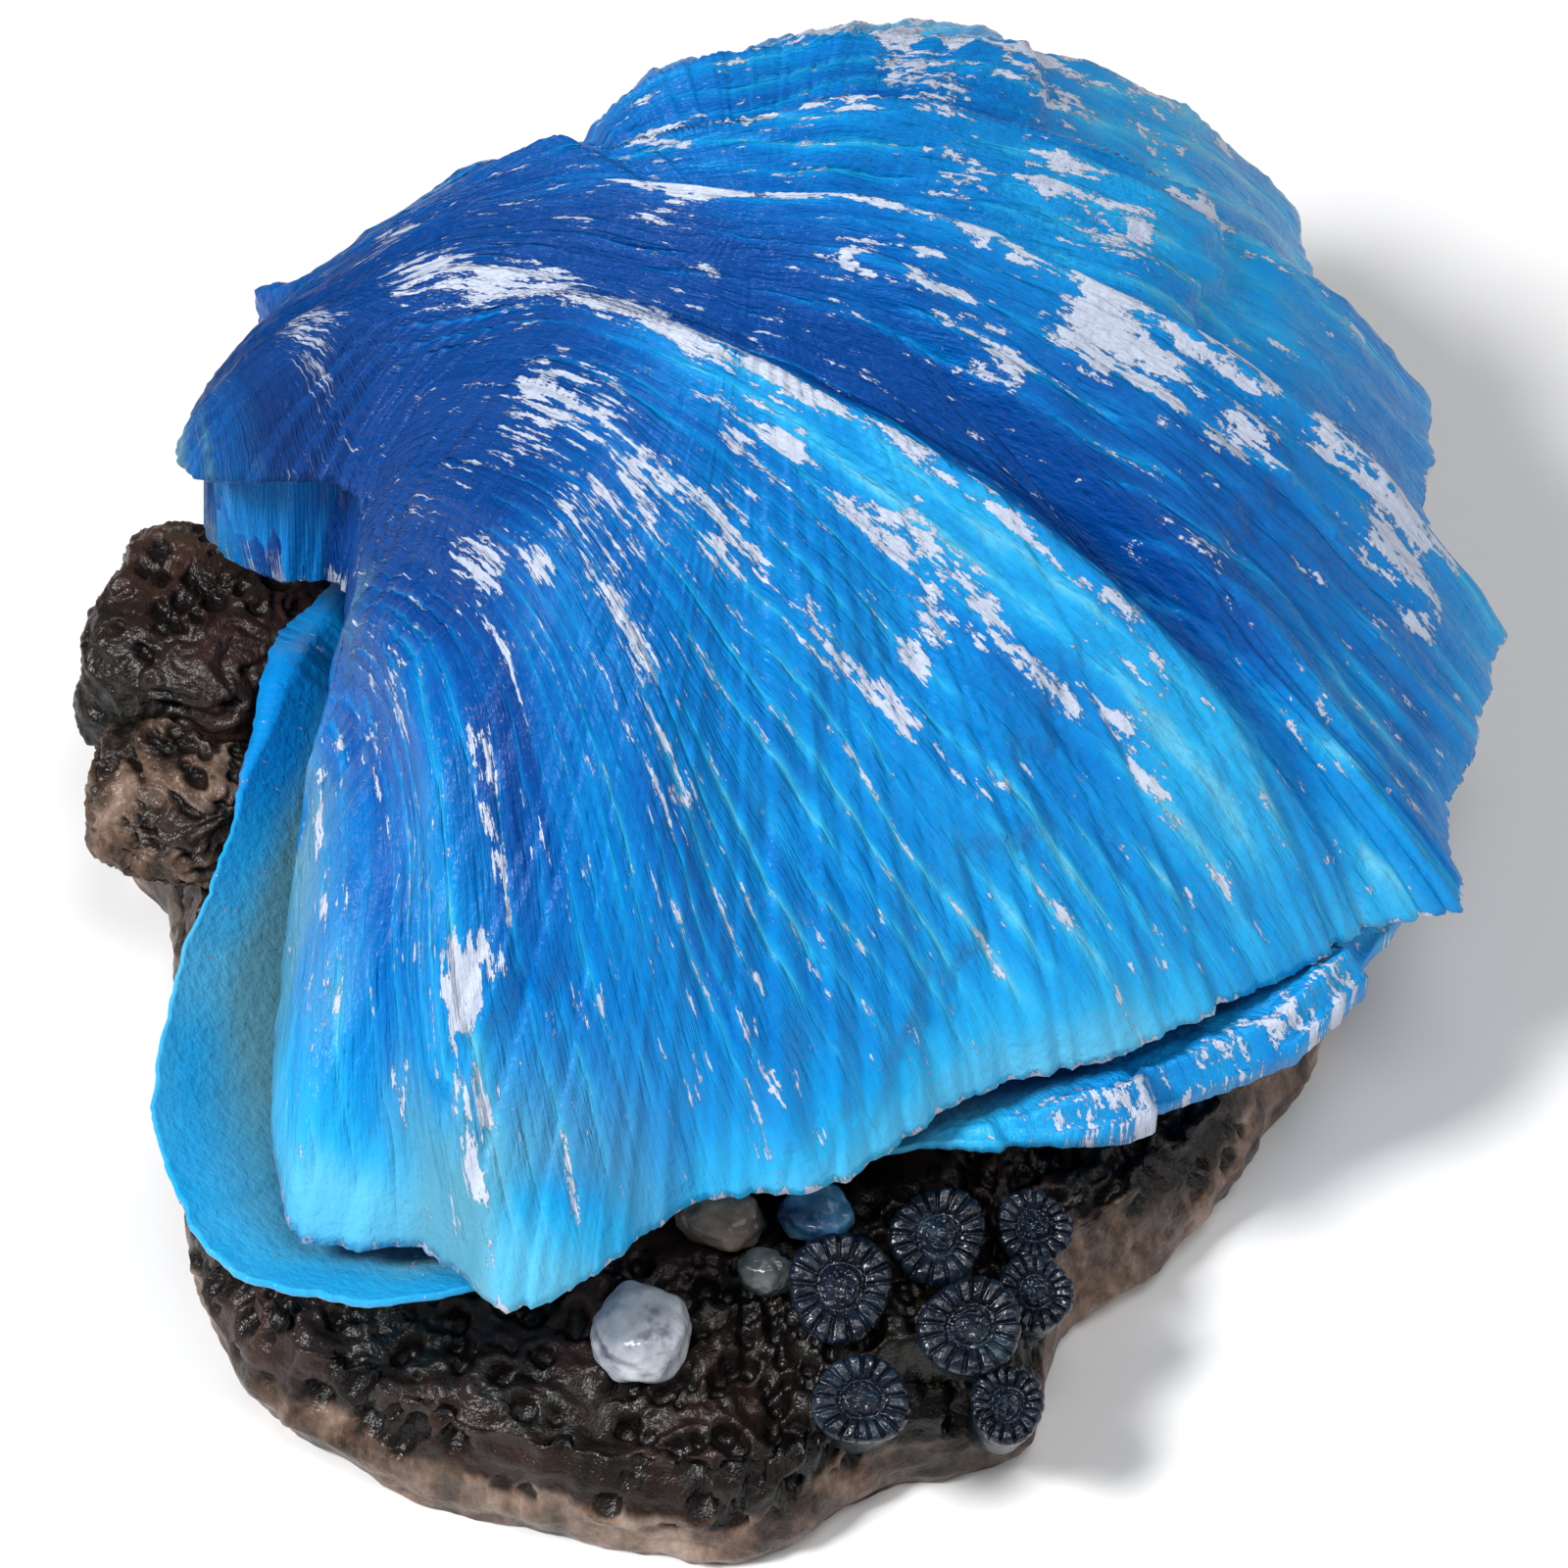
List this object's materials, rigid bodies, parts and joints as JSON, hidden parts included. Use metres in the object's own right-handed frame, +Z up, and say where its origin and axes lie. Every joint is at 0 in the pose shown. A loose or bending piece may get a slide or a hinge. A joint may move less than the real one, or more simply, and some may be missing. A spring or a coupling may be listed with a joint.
{
  "type": "bubbling aquarium ornament",
  "caption": "Hinged giant clam on a porous rock base with button polyps: air rising through the bowl lifts the upper valve, which falls shut again.",
  "frame": {"origin": "middle of the flat underside of the rock base, on the surface it stands on", "axes": "+Z up, the clam's mouth faces -Y, the hinge pin lies along X at the back, +X is the clam's right as seen from the front"},
  "size_m": [0.1042, 0.0927, 0.063],
  "materials": {
    "clam_paint": "glossy sky-blue paint with dark blue furrows and white dry-brushed crests",
    "rock": "glossy near-black brown porous resin, pinkish beige round the wall",
    "hinge_resin": "blue resin, matt",
    "pin_steel": "stainless wire",
    "air_plastic": "natural translucent plastic",
    "airline": "flexible clear-grey airline tube",
    "polyp": "dark navy and teal paint",
    "pebble": "glossy white with grey streaks",
    "coral_peach": "pale peach paint",
    "coral_grey": "pale grey paint",
    "coral_blue": "pale blue-grey paint"
  },
  "bodies": {
    "base": {"rock_base": "rock", "rear_boulder_lower": "rock", "rear_boulder_upper": "rock", "lower_valve": "clam_paint", "hinge_lug_left": "hinge_resin", "hinge_lug_right": "hinge_resin", "hinge_pin": "pin_steel", "air_inlet_nipple": "air_plastic", "air_tube": "airline", "air_nozzle": "air_plastic", "white_pebble": "pebble", "button_polyp_1": "polyp", "button_polyp_2": "polyp", "button_polyp_3": "polyp", "button_polyp_4": "polyp", "button_polyp_5": "polyp", "button_polyp_6": "polyp", "button_polyp_7": "polyp", "coral_nub_peach": "coral_peach", "coral_nub_grey": "coral_grey", "coral_nub_blue": "coral_blue"},
    "lid": {"upper_valve": "clam_paint", "hinge_knuckle_left": "hinge_resin", "hinge_knuckle_right": "hinge_resin", "air_cup": "air_plastic"}
  },
  "joints": [
    {"name": "lid_hinge", "type": "hinge", "parent": "base", "child": "lid", "pos_m": [0.0085, 0.0215, 0.0245], "axis": [-1, 0, 0], "range_deg": [0, 20]}
  ]
}
